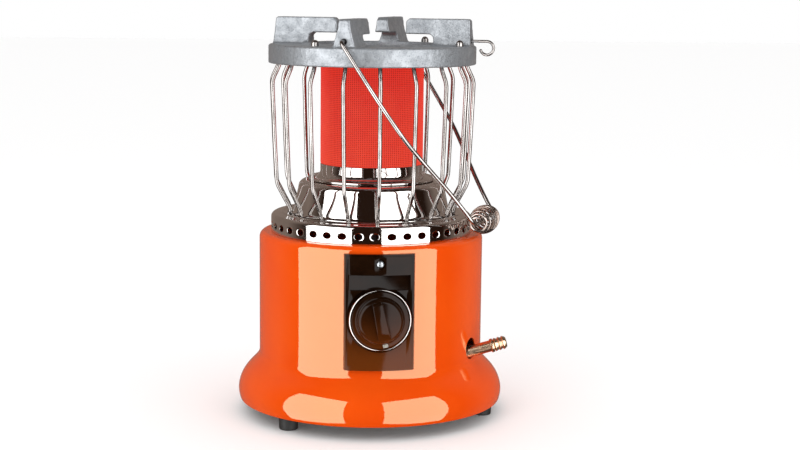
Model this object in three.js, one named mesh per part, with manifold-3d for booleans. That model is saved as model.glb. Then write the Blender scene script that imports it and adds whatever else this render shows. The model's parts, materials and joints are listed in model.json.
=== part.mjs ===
// A portable bottled-gas heater with a pan support on top, as an assembly of separate pieces.
// Millimetres, +Z up. The origin is on the heater's axis, at the floor under its feet.
// The control panel faces -Y. An azimuth is measured from the front (-Y) towards +X, in degrees.
import * as THREE from "three";
import { mergeVertices } from "three/addons/utils/BufferGeometryUtils.js";
import Module from "manifold-3d";

const wasm = await Module();
wasm.setup();

// ---- Driving dimensions ----
const GAP = 0.3; // between pieces that touch

const CASING_R = 111;
const CASING_WALL = 1.2;
const CASING_TOP = 181.5;
const CASING_SHOULDER = 6; // radius of its upper edge
const SKIRT_R = 132;
const SKIRT_BOTTOM = 14;
const SKIRT_START = 62;

const PANEL_W = 67;
const PANEL_LOW = 64.5;
const PANEL_HIGH = 175;
const PANEL_FACE_Y = -115;
const PANEL_CURVE_R = 115.4; // of its front face, round the heater's axis
const PANEL_PLUG_Y = -101; // back of the part that enters the casing
const KNOB_Z = 113.7;
const KNOB_R = 29;
const KNOB_PRESS = 4;
const PANEL_FLOOR_Y = PANEL_FACE_Y + KNOB_PRESS + 1; // bottom of the round recess behind the knob
const KNOB_TILT = 12; // the grip leans this far to the left of upright

const NOZZLE_AZIMUTH = 58;
const NOZZLE_RISE = 15; // degrees
const NOZZLE_Y = -58.5;
const NOZZLE_TIP_X = 129;
const NOZZLE_Z = 69.5; // where its axis leaves the casing
const HOSE_HOLE_Z = 72.6;

const VENT_R = 99.5;
const VENT_TOP = 199.5;
const VENT_HOLES = 40;
const VENT_HOLE_Z = 189;

const DRUM_TOP = 232.3;
const COLLAR_TOP = 248.5;
const EMITTER_R = 50.8;
const EMITTER_TOP = 351.5;

const GUARD_WIRES = 18;
const GUARD_R = 100;
const GUARD_FOOT_R = 82;
const GUARD_HEAD_R = 92.5;
const WIRE_R = 2;
const GUARD_NUT_WIRES = [3, 7, 12, 16]; // the wires that pass through the casting and carry a nut

const PAN_RING_R = 102;
const PAN_RING_BORE = 63;
const PAN_RING_LOW = 347;
const PAN_RING_TOP = 365.5;
const PAN_RING_PLATE = 7; // thickness of its top
const ARM_TOP = 391.5;
const ARM_TIP_R = 35;
const ARM_TIP_DEPTH = 15; // of the arm's free end, from its top
const ARM_AZIMUTH = -20; // of the front arm; the others follow every 90 degrees
const EAR_Z = 370.5;
const EAR_HOLE_R = 2.8;

const BAIL_REACH = 208; // pivot axis to the middle of the grip
const BAIL_HANG = 33.6; // degrees from straight down, where the grip rests beside the vent ring
const GRIP_HALF = 36;

const FOOT_RING_R = 115;
const FOOT_AZIMUTHS = { left_foot: -47, right_foot: 73, rear_foot: 193 };
const BASE_PAN_Z = 15.5;

const ROUND = 32; // facets of the large turned pieces
const FINE = 24; // facets of the smaller ones

// ---- Materials ----
const finish = (color, roughness, metalness) =>
  new THREE.MeshStandardMaterial({ color, roughness, metalness });

const ORANGE_PAINT = finish(0xe9500f, 0.25, 0);
const BLACK_PLASTIC = finish(0x17120f, 0.3, 0);
const CHROME = finish(0xd6d3d0, 0.08, 1);
const STEEL = finish(0xb9b8b6, 0.3, 1);
const CAST_ALUMINIUM = finish(0xa9adb0, 0.5, 0.9);
const GLOWING_MESH = finish(0xe8331c, 0.6, 0.2);
const BRASS = finish(0xb58a4c, 0.35, 1);
const RUBBER = finish(0x1c1b1b, 0.8, 0);
const CERAMIC = finish(0xe8e4da, 0.4, 0);
const ZINC = finish(0xc4a877, 0.35, 1);

// ---- Geometry helpers ----
const radians = THREE.MathUtils.degToRad;

// A point at a radius and azimuth.
function around(radius, azimuth, z) {
  const a = radians(azimuth);
  return new THREE.Vector3(radius * Math.sin(a), -radius * Math.cos(a), z);
}

// Turns a closed geometry into a manifold solid, whichever way its faces were wound.
function solidOf(geometry) {
  const bare = geometry.index ? geometry.toNonIndexed() : geometry.clone();
  bare.deleteAttribute("normal");
  bare.deleteAttribute("uv");
  const merged = mergeVertices(bare, 1e-3);
  const vertProperties = merged.attributes.position.array;
  const triVerts = new Uint32Array(merged.index.array);
  const solid = new wasm.Manifold(new wasm.Mesh({ numProp: 3, vertProperties, triVerts }));
  if (solid.volume() > 0) return solid;
  for (let i = 0; i < triVerts.length; i += 3) {
    [triVerts[i + 1], triVerts[i + 2]] = [triVerts[i + 2], triVerts[i + 1]];
  }
  return new wasm.Manifold(new wasm.Mesh({ numProp: 3, vertProperties, triVerts }));
}

function geometryOf(solid) {
  const mesh = solid.getMesh();
  const geometry = new THREE.BufferGeometry();
  geometry.setAttribute("position", new THREE.BufferAttribute(mesh.vertProperties, 3));
  geometry.setIndex(new THREE.BufferAttribute(mesh.triVerts, 1));
  return geometry;
}

const cut = (base, ...tools) =>
  geometryOf(tools.reduce((solid, tool) => solid.subtract(solidOf(tool)), solidOf(base)));
const join = (first, ...others) =>
  geometryOf(others.reduce((solid, other) => solid.add(solidOf(other)), solidOf(first)));
const common = (a, b) => geometryOf(solidOf(a).intersect(solidOf(b)));

// Turns an outline of [radius, z] points about the Z axis.
function turned(outline, facets = ROUND) {
  const points = outline.map(([r, z]) => new THREE.Vector2(r, z));
  const onAxis = outline[0][0] === 0 && outline.at(-1)[0] === 0;
  if (!onAxis) points.push(points[0].clone());
  const geometry = new THREE.LatheGeometry(points, facets).rotateX(Math.PI / 2);
  return geometryOf(solidOf(geometry));
}

// Points on an arc of an outline, angles in degrees anticlockwise from +r.
function arc(r, z, radius, from, to, steps) {
  return Array.from({ length: steps + 1 }, (_, i) => {
    const a = radians(from + ((to - from) * i) / steps);
    return [r + radius * Math.cos(a), z + radius * Math.sin(a)];
  });
}

// Points on a cubic curve of an outline.
function curve(a, b, c, d, steps) {
  const bezier = new THREE.CubicBezierCurve(...[a, b, c, d].map((p) => new THREE.Vector2(...p)));
  return bezier.getPoints(steps).map((p) => [p.x, p.y]);
}

function box(x0, x1, y0, y1, z0, z1) {
  const geometry = new THREE.BoxGeometry(x1 - x0, y1 - y0, z1 - z0);
  return geometry.translate((x0 + x1) / 2, (y0 + y1) / 2, (z0 + z1) / 2);
}

// A cylinder between two points.
function rod(from, to, radius, facets = 12) {
  const line = new THREE.Vector3().subVectors(to, from);
  const geometry = new THREE.CylinderGeometry(radius, radius, line.length(), facets);
  const turn = new THREE.Quaternion();
  turn.setFromUnitVectors(new THREE.Vector3(0, 1, 0), line.clone().normalize());
  const middle = new THREE.Vector3().addVectors(from, to).multiplyScalar(0.5);
  return geometry.applyQuaternion(turn).translate(middle.x, middle.y, middle.z);
}

const rodZ = (x, y, z0, z1, radius, facets) =>
  rod(new THREE.Vector3(x, y, z0), new THREE.Vector3(x, y, z1), radius, facets);
const rodY = (x, z, y0, y1, radius, facets) =>
  rod(new THREE.Vector3(x, y0, z), new THREE.Vector3(x, y1, z), radius, facets);

// A wire or tube of round section along a curve.
function wire(path, radius, steps, sides = 8) {
  const section = new THREE.Shape();
  section.absarc(0, 0, radius, 0, 2 * Math.PI);
  const settings = { steps, extrudePath: path, curveSegments: sides / 2 };
  return new THREE.ExtrudeGeometry(section, settings);
}

// A wire's centre line: straight runs, with each corner cut by a chord as far back as the bend.
// It steps from point to point, so that a wire has a ring of vertices exactly at each of them.
class BentLine extends THREE.Curve {
  constructor(corners, bend) {
    super();
    this.points = [corners[0]];
    for (let i = 1; i < corners.length - 1; i++) {
      for (const end of [corners[i - 1], corners[i + 1]]) {
        const back = new THREE.Vector3().subVectors(end, corners[i]);
        back.setLength(Math.min(bend, back.length() * 0.45));
        this.points.push(back.add(corners[i]));
      }
    }
    this.points.push(corners.at(-1));
    this.steps = this.points.length - 1;
  }

  getPointAt(t, target = new THREE.Vector3()) {
    return target.copy(this.points[Math.round(t * this.steps)]);
  }

  getSpacedPoints() {
    return this.points;
  }

  getTangentAt(t, target = new THREE.Vector3()) {
    const i = Math.round(t * this.steps);
    const run = (n) => new THREE.Vector3().subVectors(this.points[n + 1], this.points[n]).normalize();
    const before = run(Math.max(i - 1, 0));
    const after = run(Math.min(i, this.steps - 1));
    return target.addVectors(before, after).normalize();
  }
}

function bentWire(corners, bend, radius, sides) {
  const line = new BentLine(corners, bend);
  return wire(line, radius, line.steps, sides);
}

// ---- The assembly ----
const heater = new THREE.Group();

function piece(name, geometry, material, parent = heater) {
  const mesh = new THREE.Mesh(geometry, material);
  mesh.name = name;
  parent.add(mesh);
  return mesh;
}

// ---- Casing, base pan and feet ----
function outerCasing() {
  const wall = CASING_WALL;
  const shoulder = CASING_SHOULDER;
  const outer = [
    ...curve([SKIRT_R - 1.5, SKIRT_BOTTOM], [SKIRT_R - 0.5, 17], [SKIRT_R, 20], [SKIRT_R, 24], 2),
    ...curve([SKIRT_R, 24], [SKIRT_R - 2, 46], [CASING_R, 50], [CASING_R, SKIRT_START], 6).slice(1),
    ...arc(CASING_R - shoulder, CASING_TOP - shoulder, shoulder, 0, 90, 3),
    [93, CASING_TOP],
  ];
  const inner = [
    [93, CASING_TOP - wall],
    ...arc(CASING_R - shoulder, CASING_TOP - shoulder, shoulder - wall, 90, 0, 2),
    ...curve(
      [CASING_R - wall, SKIRT_START],
      [CASING_R - wall, 49.5],
      [SKIRT_R - 3.2, 45.2],
      [SKIRT_R - wall, 24],
      5,
    ),
    [SKIRT_R - 2.6, SKIRT_BOTTOM + wall],
    [126, SKIRT_BOTTOM + wall],
    [126, SKIRT_BOTTOM],
  ];
  const shell = turned([...outer, ...inner]);
  const panelOpening = box(-31, 31, -125, -90, PANEL_LOW + 4, PANEL_HIGH - 4);
  const hoseHole = rod(
    around(95, NOZZLE_AZIMUTH, HOSE_HOLE_Z),
    around(125, NOZZLE_AZIMUTH, HOSE_HOLE_Z),
    10.5,
    16,
  );
  return cut(shell, panelOpening, hoseHole);
}

function basePan() {
  const top = BASE_PAN_Z + CASING_WALL;
  const pan = turned([
    [0, BASE_PAN_Z],
    [128.6, BASE_PAN_Z],
    [128.6, BASE_PAN_Z + 5],
    [127.4, BASE_PAN_Z + 5],
    [127.4, top],
    [0, top],
  ]);
  const airHoles = Array.from({ length: 8 }, (_, i) => {
    const p = around(62, i * 45, 0);
    return rodZ(p.x, p.y, 10, 20, 10, 8);
  });
  const screwHoles = Object.values(FOOT_AZIMUTHS).map((azimuth) => {
    const p = around(FOOT_RING_R, azimuth, 0);
    return rodZ(p.x, p.y, 10, 20, 2.6, 6);
  });
  return cut(pan, ...airHoles, ...screwHoles);
}

function foot() {
  const top = BASE_PAN_Z - GAP;
  return turned([[5.5, 0], [9, 0], [9.8, top], [2.8, top], [2.8, 6], [5.5, 6]], 14);
}

function footScrew() {
  return turned([[0, 2.2], [4.6, 3.2], [4.8, 5.7], [2.2, 5.7], [2.2, 23], [0, 23]], 8);
}

piece("outer_casing", outerCasing(), ORANGE_PAINT);
piece("base_pan", basePan(), STEEL);
for (const [name, azimuth] of Object.entries(FOOT_AZIMUTHS)) {
  const place = around(FOOT_RING_R, azimuth, 0);
  piece(name, foot(), RUBBER).position.copy(place);
  piece(`${name}_screw`, footScrew(), STEEL).position.copy(place);
}

// ---- Control panel, knob and valve ----
const KNOB_BACK_Y = PANEL_FACE_Y;
const KNOB_SKIRT_Y = KNOB_BACK_Y - 5;
const KNOB_HUB_Y = -127;
const KNOB_FRONT_Y = -132.5;
const STEM_R = 4;
const SCREW_Z = 166;
const TOP_BAR_LOW = 155.8;

function controlPanel() {
  const half = PANEL_W / 2;
  const drum = (radius) => rodZ(0, 0, PANEL_LOW - 5, PANEL_HIGH + 5, radius, 96);
  const sheet = common(box(-half, half, -120, -99, PANEL_LOW, PANEL_HIGH), drum(PANEL_CURVE_R));
  const topBar = common(
    box(-31, 31, -120, -108, TOP_BAR_LOW, PANEL_HIGH - 1.5),
    drum(PANEL_CURVE_R + 2),
  );
  const flange = cut(join(sheet, topBar), drum(CASING_R + GAP));
  const plug = common(
    box(-30.4, 30.4, -120, PANEL_PLUG_Y, PANEL_LOW + 4.6, PANEL_HIGH - 4.6),
    drum(PANEL_CURVE_R - 1),
  );
  return cut(
    join(flange, plug),
    rodY(0, KNOB_Z, -130, PANEL_FLOOR_Y, KNOB_R + 2.5, 36),
    box(-28.4, 28.4, -107.5, -90, PANEL_LOW + 6.6, PANEL_HIGH - 6.6),
    rodY(0, KNOB_Z, -115, -100, 5.5, 12),
    rodY(0, SCREW_Z, -120, PANEL_FACE_Y - 0.5, 5.2, 16),
    rodY(0, SCREW_Z, -120, -95, 2.4, 8),
  );
}

// Turned about the Z axis, then laid so that the outline's z runs towards the front (-Y).
function turnedToFront(outline, facets, z) {
  return turned(outline, facets).rotateX(Math.PI / 2).translate(0, 0, z);
}

function panelScrew() {
  const seat = -PANEL_FACE_Y + 0.5 + GAP;
  const head = arc(0, seat, 3.6, 0, 90, 3).map(([r, z]) => [r, seat + (z - seat) * 0.6]);
  return turnedToFront([[0, 104.5], [2, 104.5], [2, seat], ...head], 12, SCREW_Z);
}

function controlKnob() {
  const back = -KNOB_BACK_Y;
  const skirt = -KNOB_SKIRT_Y;
  const hub = -KNOB_HUB_Y;
  const body = turnedToFront(
    [
      [0, hub - 0.6],
      [4.3, hub - 0.6],
      [4.3, 124.3],
      [10, 124.3],
      [10, back],
      [KNOB_R - 1, back],
      [KNOB_R, back + 1],
      [KNOB_R, skirt - 1.9],
      [27, skirt - 1.9],
      [27, skirt],
      [22.5, skirt + 0.6],
      [21, hub - 1.5],
      [19, hub],
      [0, hub + 0.4],
    ].reverse(),
    28,
    KNOB_Z,
  );
  const outline = new THREE.Shape();
  outline.moveTo(-6.5, -19);
  outline.lineTo(6.5, -19);
  outline.lineTo(5, 19);
  outline.lineTo(-5, 19);
  const depth = KNOB_HUB_Y + 1 - KNOB_FRONT_Y;
  const grip = new THREE.ExtrudeGeometry(outline, { depth, bevelEnabled: false });
  grip.rotateX(Math.PI / 2).translate(0, KNOB_HUB_Y + 1, 0);
  grip.rotateY(radians(-KNOB_TILT)).translate(0, 0, KNOB_Z);
  return join(body, grip);
}

function knobTrimRing() {
  const low = -KNOB_SKIRT_Y - 1.6;
  const high = low + 2.2;
  const section = [[27.3, low], [29.4, low], [29.4, high - 0.8], [28.6, high], [27.3, high]];
  return turnedToFront(section, 28, KNOB_Z);
}

function returnSpring() {
  const turns = 4.5;
  const length = 11.4;
  class Helix extends THREE.Curve {
    getPoint(t, target = new THREE.Vector3()) {
      const a = 2 * Math.PI * turns * t;
      return target.set(7.4 * Math.cos(a), PANEL_FLOOR_Y - 1 - length * t * 0.93, 7.4 * Math.sin(a));
    }
  }
  return wire(new Helix(), 0.6, 40, 4).translate(0, 0, KNOB_Z);
}

function gasValve() {
  const body = box(-13, 13, -95, -63, KNOB_Z - 17, KNOB_Z + 17);
  const nose = rodY(0, KNOB_Z, -106, -90, 6.6, 16);
  const inlet = rodZ(0, -74, 88, 100, 7, 12);
  const outlet = rodY(0, KNOB_Z, -66, -57, 6, 12);
  const igniter = rodZ(-3, -79, 128, 139, 7.5, 12);
  return cut(join(body, nose, inlet, outlet, igniter), rodY(0, KNOB_Z, -110, -70, STEM_R + 0.5, 12));
}

function valveBracket() {
  const plate = box(-30, 30, PANEL_PLUG_Y + GAP, PANEL_PLUG_Y + 1.8, PANEL_LOW + 6, PANEL_HIGH - 6);
  return cut(plate, rodY(0, KNOB_Z, -105, -95, 7.2, 16), rodY(0, SCREW_Z, -105, -95, 2.4, 8));
}

piece("control_panel", controlPanel(), BLACK_PLASTIC);
piece("panel_screw", panelScrew(), CHROME);
piece("control_knob", controlKnob(), BLACK_PLASTIC);
piece("knob_trim_ring", knobTrimRing(), CHROME);
piece("valve_stem", rodY(0, KNOB_Z, KNOB_HUB_Y + 1, -76, STEM_R, 12), BRASS);
piece(
  "stem_washer",
  turnedToFront([[4.4, 122.6], [9.4, 122.6], [9.4, 123.9], [4.4, 123.9]], 16, KNOB_Z),
  STEEL,
);
piece("return_spring", returnSpring(), STEEL);
piece("valve_bracket", valveBracket(), STEEL);
piece("gas_valve", gasValve(), BRASS);

// ---- Gas way: hose nozzle, pipes, injector, mixing tube and burner ----
const INJECTOR_TOP = 92;
const CUP_FLANGE_Z = DRUM_TOP + 0.4;

function hoseNozzle() {
  const length = 66;
  const barb = (z) => [[5, z], [6.6, z + 0.6], [5.3, z + 3.6]];
  const outline = [
    [0, 0],
    [5.6, 0],
    [5.6, length - 16],
    [6.8, length - 15.5],
    [6.8, length - 13],
    ...barb(length - 12.4),
    ...barb(length - 8.4),
    ...barb(length - 4.4),
    [4.7, length],
    [2.6, length],
    [2.6, length - 24],
    [0, length - 25],
  ];
  const nozzle = turned(outline, 12).rotateY(Math.PI / 2).translate(-length, 0, 0);
  const tipZ = NOZZLE_Z + (NOZZLE_TIP_X - 94) * Math.tan(radians(NOZZLE_RISE));
  nozzle.rotateY(radians(-NOZZLE_RISE)).translate(NOZZLE_TIP_X, NOZZLE_Y, tipZ);
  return nozzle;
}

function inletPipe() {
  const rise = Math.tan(radians(NOZZLE_RISE));
  const onAxis = (x) => new THREE.Vector3(x, NOZZLE_Y, NOZZLE_Z + (x - 94) * rise);
  const points = [
    new THREE.Vector3(0, -74, 87.6),
    new THREE.Vector3(0, -74, 60),
    onAxis(26),
    onAxis(63),
  ];
  return bentWire(points, 12, 4, 8);
}

function feedPipe() {
  const points = [
    new THREE.Vector3(0, -56.6, KNOB_Z),
    new THREE.Vector3(0, -34, KNOB_Z),
    new THREE.Vector3(0, -30, 70),
    new THREE.Vector3(0, -11.4, 70),
  ];
  return bentWire(points, 10, 3, 8);
}

function injectorBlock() {
  return join(
    box(-11, 11, -11, 11, 60, 80),
    box(-5, 5, -5, 5, 18, 62),
    box(-16, 16, -12, 12, BASE_PAN_Z + CASING_WALL + GAP, 19),
  );
}

function mixingTube() {
  return turned(
    [
      [18, INJECTOR_TOP + 4],
      [11, INJECTOR_TOP + 14],
      [9, 120],
      [14, 195],
      [14, 204],
      [15, 204],
      [15, 194.5],
      [10, 120],
      [12, INJECTOR_TOP + 14.5],
      [19, INJECTOR_TOP + 4.5],
    ],
    16,
  );
}

const ELECTRODE = around(34, -35, 0);

function burnerCup() {
  const z = CUP_FLANGE_Z;
  const cup = turned([
    [15.6, 199],
    [16.8, 199],
    [17, 207],
    [44, 216],
    [48.2, z],
    [55.5, z],
    [55.5, z + 1],
    [47.2, z + 1],
    [43.2, 217],
    [15.6, 208],
  ], FINE);
  return cut(cup, rodZ(ELECTRODE.x, ELECTRODE.y, 200, 235, 4.6, 10));
}

function flamePlate() {
  const z = CUP_FLANGE_Z + 1 + GAP;
  const disc = turned([[3.6, z], [48.8, z], [48.8, z + 1.2], [3.6, z + 1.2]], FINE);
  const ports = [20, 40].flatMap((radius) => {
    const count = Math.round(radius / 4);
    return Array.from({ length: count }, (_, i) => {
      const p = around(radius, (360 * i) / count, 0);
      return rodZ(p.x, p.y, z - 1, z + 2, 2.4, 6);
    });
  });
  return cut(disc, ...ports, rodZ(ELECTRODE.x, ELECTRODE.y, 220, 240, 4.2, 10));
}

function sparkElectrode() {
  return turned(
    [[0, 199], [3.6, 199], [3.6, 239], [2.6, 242], [1, 242], [1, 250], [0, 250]],
    10,
  ).translate(ELECTRODE.x, ELECTRODE.y, 0);
}

function ignitionLead() {
  const points = [
    new THREE.Vector3(-3, -79, 139.4),
    new THREE.Vector3(-3, -79, 158),
    new THREE.Vector3(ELECTRODE.x, ELECTRODE.y - 8, 172),
    new THREE.Vector3(ELECTRODE.x, ELECTRODE.y, 198),
  ];
  return bentWire(points, 10, 1.6, 6);
}

piece("hose_nozzle", hoseNozzle(), ZINC);
piece("inlet_pipe", inletPipe(), STEEL);
piece("feed_pipe", feedPipe(), STEEL);
piece("injector_block", injectorBlock(), STEEL);
piece(
  "injector",
  turned([[0, 80.3], [5, 80.3], [5, 86], [2.5, INJECTOR_TOP], [0, INJECTOR_TOP]], 6),
  BRASS,
);
piece("mixing_tube", mixingTube(), STEEL);
piece("burner_cup", burnerCup(), STEEL);
piece("flame_plate", flamePlate(), STEEL);
piece("spark_electrode", sparkElectrode(), CERAMIC);
piece("ignition_lead", ignitionLead(), RUBBER);

// ---- Vent ring, reflector drum, collar and emitter ----
function ventRing() {
  const low = CASING_TOP + GAP;
  const top = VENT_TOP;
  const edge = 4;
  const ring = turned(
    [
      [VENT_R, low],
      ...arc(VENT_R - edge, top - edge, edge, 0, 90, 3),
      ...arc(88, top, 1.6, 0, 180, 2),
      [68, top],
      [68, top - 1],
      ...arc(VENT_R - edge, top - edge, edge - 1, 90, 0, 2),
      [VENT_R - 1, low + 1],
      [94, low + 1],
      [94, low],
    ],
    VENT_HOLES,
  );
  const step = 360 / VENT_HOLES;
  const airHoles = Array.from({ length: VENT_HOLES }, (_, i) => {
    const azimuth = step * (i + 0.5);
    const hole = rodY(0, 0, -110, -90, 3.2, 6).scale(1.25, 1, 1);
    return hole.rotateZ(radians(azimuth)).translate(0, 0, VENT_HOLE_Z);
  });
  return cut(ring, ...airHoles).rotateZ(radians(step / 4));
}

function reflectorDrum() {
  const low = VENT_TOP + GAP;
  const edge = 7;
  const shoulderR = 72.5 - edge;
  return turned([
    [79.2, low],
    [79.2, low + 0.8],
    [77.4, low + 2],
    [75.6, low + 12],
    ...arc(shoulderR, DRUM_TOP - edge, edge, 0, 90, 4),
    [52.6, DRUM_TOP],
    [52.6, DRUM_TOP - 1],
    ...arc(shoulderR, DRUM_TOP - edge, edge - 1, 90, 0, 3),
    [74.6, low + 12],
    [76.2, low],
  ]);
}

function emitterCollar() {
  const low = DRUM_TOP + GAP;
  return turned([
    [59, low],
    ...arc(61.4, low + 1.4, 1.4, -70, 110, 3),
    [59.4, low + 1.6],
    ...curve([58.6, low + 2.2], [54.6, low + 3], [51.6, low + 5], [EMITTER_R, low + 8.5], 3),
    [EMITTER_R, COLLAR_TOP],
    [EMITTER_R - 1.1, COLLAR_TOP],
    ...curve([EMITTER_R - 1.1, low + 8.5], [50.4, low + 4.2], [54, low + 2.4], [58, low + 1.4], 3),
  ]);
}

function emitterCap() {
  return turned([
    [3.6, 353.4],
    [46, 352.2],
    [51.2, 352.2],
    [51.2, 347],
    [52.4, 347],
    [52.4, 352.6],
    [51.6, 353.4],
    [46, 353.4],
    [3.6, 354.6],
  ], FINE);
}

const EMITTER_LOW = COLLAR_TOP + GAP; // the mesh stands on the collar's rim

piece("vent_ring", ventRing(), CHROME);
piece("reflector_drum", reflectorDrum(), CHROME);
piece("emitter_collar", emitterCollar(), CHROME);
piece(
  "emitter_mesh",
  turned([
    [EMITTER_R, EMITTER_LOW],
    [EMITTER_R, EMITTER_TOP],
    [EMITTER_R - 0.9, EMITTER_TOP],
    [EMITTER_R - 0.9, EMITTER_LOW],
  ], FINE),
  GLOWING_MESH,
);
piece("emitter_cap", emitterCap(), STEEL);
piece(
  "tie_rod",
  turned([[0, 229], [8, 229], [8, CUP_FLANGE_Z - GAP], [3, CUP_FLANGE_Z + GAP], [3, 360], [0, 360]], 10),
  STEEL,
);
piece("cap_nut", turned([[3.9, 354.9], [6.6, 354.9], [6.6, 359], [3.9, 359]], 6), STEEL);

// ---- Wire guard ----
function guardWire(headTop) {
  const points = [
    [GUARD_FOOT_R, VENT_TOP + GAP],
    [GUARD_FOOT_R, VENT_TOP + 5],
    [GUARD_R - 4.5, 230],
    [GUARD_R - 2.5, 270],
    [GUARD_R, 331],
    [GUARD_HEAD_R, 346.5],
    [GUARD_HEAD_R, headTop],
  ].map(([r, z]) => new THREE.Vector3(0, -r, z));
  return bentWire(points, 4, WIRE_R, 6);
}

const guard = new THREE.Group();
heater.add(guard);
for (let i = 0; i < GUARD_WIRES; i++) {
  const number = String(i + 1).padStart(2, "0");
  const blindEnd = PAN_RING_TOP - PAN_RING_PLATE - GAP;
  const headTop = GUARD_NUT_WIRES.includes(i) ? PAN_RING_TOP + 5 : blindEnd;
  const mesh = piece(`guard_wire_${number}`, guardWire(headTop), STEEL, guard);
  mesh.rotation.z = radians((360 * i) / GUARD_WIRES);
}

function guardNut() {
  const low = PAN_RING_TOP + GAP;
  return turned([[2.5, low], [3.8, low], [3.8, low + 4], [3.2, low + 5.6], [2.5, low + 5.6]], 6);
}

GUARD_NUT_WIRES.forEach((i, n) => {
  const mesh = piece(`guard_nut_${n + 1}`, guardNut(), STEEL);
  mesh.position.copy(around(GUARD_HEAD_R, (360 * i) / GUARD_WIRES, 0));
});

// ---- Cast pan support ----
// One arm, drawn at the front with its length along -Y.
function panArm() {
  const side = new THREE.Shape();
  const [outer, inner, low] = [PAN_RING_R - 2.2, PAN_RING_BORE + 0.5, PAN_RING_TOP - 4];
  const under = ARM_TOP - ARM_TIP_DEPTH;
  side.moveTo(inner, low);
  side.lineTo(outer, low);
  side.lineTo(outer - 1.2, ARM_TOP - 1.5);
  side.quadraticCurveTo(outer - 1.4, ARM_TOP, outer - 3, ARM_TOP);
  side.lineTo(ARM_TIP_R + 4, ARM_TOP);
  side.quadraticCurveTo(ARM_TIP_R, ARM_TOP, ARM_TIP_R, ARM_TOP - 4);
  side.lineTo(ARM_TIP_R, under);
  side.lineTo(inner - 4, under);
  side.quadraticCurveTo(inner, under, inner, under - 4);
  const slab = new THREE.ExtrudeGeometry(side, { depth: 26, bevelEnabled: false, curveSegments: 4 });
  slab.translate(0, 0, -13).rotateX(Math.PI / 2).rotateZ(-Math.PI / 2);

  const taper = new THREE.Shape();
  taper.moveTo(-11.5, low - 1);
  taper.lineTo(11.5, low - 1);
  taper.lineTo(11.2, PAN_RING_TOP);
  taper.lineTo(8.3, PAN_RING_TOP + 9);
  taper.lineTo(6.4, PAN_RING_TOP + 17);
  taper.lineTo(5.2, ARM_TOP + 1);
  taper.lineTo(-5.2, ARM_TOP + 1);
  taper.lineTo(-6.4, PAN_RING_TOP + 17);
  taper.lineTo(-8.3, PAN_RING_TOP + 9);
  taper.lineTo(-11.2, PAN_RING_TOP);
  const wedge = new THREE.ExtrudeGeometry(taper, { depth: 120, bevelEnabled: false });
  wedge.rotateX(Math.PI / 2);
  return common(slab, wedge);
}

function panSupport() {
  const [low, top] = [PAN_RING_LOW, PAN_RING_TOP];
  const ring = turned([
    [PAN_RING_R, low],
    [PAN_RING_R, top - 1.5],
    [PAN_RING_R - 1.5, top],
    [PAN_RING_BORE + 6, top],
    [PAN_RING_BORE + 5, top + 1.5],
    [PAN_RING_BORE, top + 1.5],
    [PAN_RING_BORE, top - 10],
    [PAN_RING_BORE + 4, top - 10],
    [PAN_RING_BORE + 4, top - PAN_RING_PLATE],
    [PAN_RING_R - 5.5, top - PAN_RING_PLATE],
    [PAN_RING_R - 5, low],
  ]);
  const arms = [0, 90, 180, 270].map((turn) => panArm().rotateZ(radians(ARM_AZIMUTH + turn)));
  const earHoles = [0, 90, 180, 270].map((turn) =>
    rod(around(78, ARM_AZIMUTH + turn, EAR_Z), around(110, ARM_AZIMUTH + turn, EAR_Z), EAR_HOLE_R, 10),
  );
  const wireHoles = GUARD_NUT_WIRES.map((i) => {
    const p = around(GUARD_HEAD_R, (360 * i) / GUARD_WIRES, 0);
    return rodZ(p.x, p.y, top - 12, top + 3, WIRE_R + 0.5, 8);
  });
  return cut(join(ring, ...arms), ...earHoles, ...wireHoles);
}

piece("pan_support", panSupport(), CAST_ALUMINIUM);

// ---- Bail handle, its coil grip and the side hook ----
// In the bail's own group the pivot axis is Y (the front ear at -Y) and the grip hangs along -Z.
const bail = new THREE.Group();
bail.position.z = EAR_Z;
bail.rotation.order = "ZYX";
bail.rotation.z = radians(ARM_AZIMUTH);
bail.rotation.y = radians(-BAIL_HANG);
heater.add(bail);

function bailHandle() {
  const leg = [
    [84, 0],
    [109, 0],
    [107.5, 62],
    [100, 108],
    [80, 140],
    [62, 166],
    [50, 190],
    [45, BAIL_REACH],
  ];
  const front = leg.map(([w, t]) => new THREE.Vector3(0, -w, -t));
  const back = leg.map(([w, t]) => new THREE.Vector3(0, w, -t)).reverse();
  return bentWire([...front, ...back], 6, WIRE_R, 8);
}

function gripCoil() {
  const turns = 10;
  const wireR = 1.2;
  const [endR, middleR] = [5.7, 12.7];
  class BarrelCoil extends THREE.Curve {
    getPoint(t, target = new THREE.Vector3()) {
      const along = GRIP_HALF * (2 * t - 1);
      const radius = endR + (middleR - endR) * Math.cos((Math.PI / 2) * (2 * t - 1));
      const a = 2 * Math.PI * turns * t;
      return target.set(radius * Math.cos(a), along, -BAIL_REACH + radius * Math.sin(a));
    }
  }
  return wire(new BarrelCoil(), wireR, turns * 7, 6);
}

piece("bail_handle", bailHandle(), STEEL, bail);
piece("grip_coil", gripCoil(), STEEL, bail);

function sideHook() {
  const [wireR, loopR, shankEnd] = [1.4, 6.5, 114.5];
  const loop = arc(shankEnd, -loopR, loopR, 90, -160, 12).map(([r, z]) => new THREE.Vector3(0, -r, z));
  const path = new THREE.CurvePath();
  path.add(new THREE.LineCurve3(new THREE.Vector3(0, -82, 0), loop[0]));
  path.add(new THREE.CatmullRomCurve3(loop));
  return wire(path, wireR, 20, 6);
}

const hook = piece("side_hook", sideHook(), STEEL);
hook.position.z = EAR_Z;
hook.rotation.z = radians(ARM_AZIMUTH + 90);

export default heater;
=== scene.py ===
import json
import math

import bmesh
import bpy
import numpy as np
from mathutils import Matrix, Vector


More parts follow.
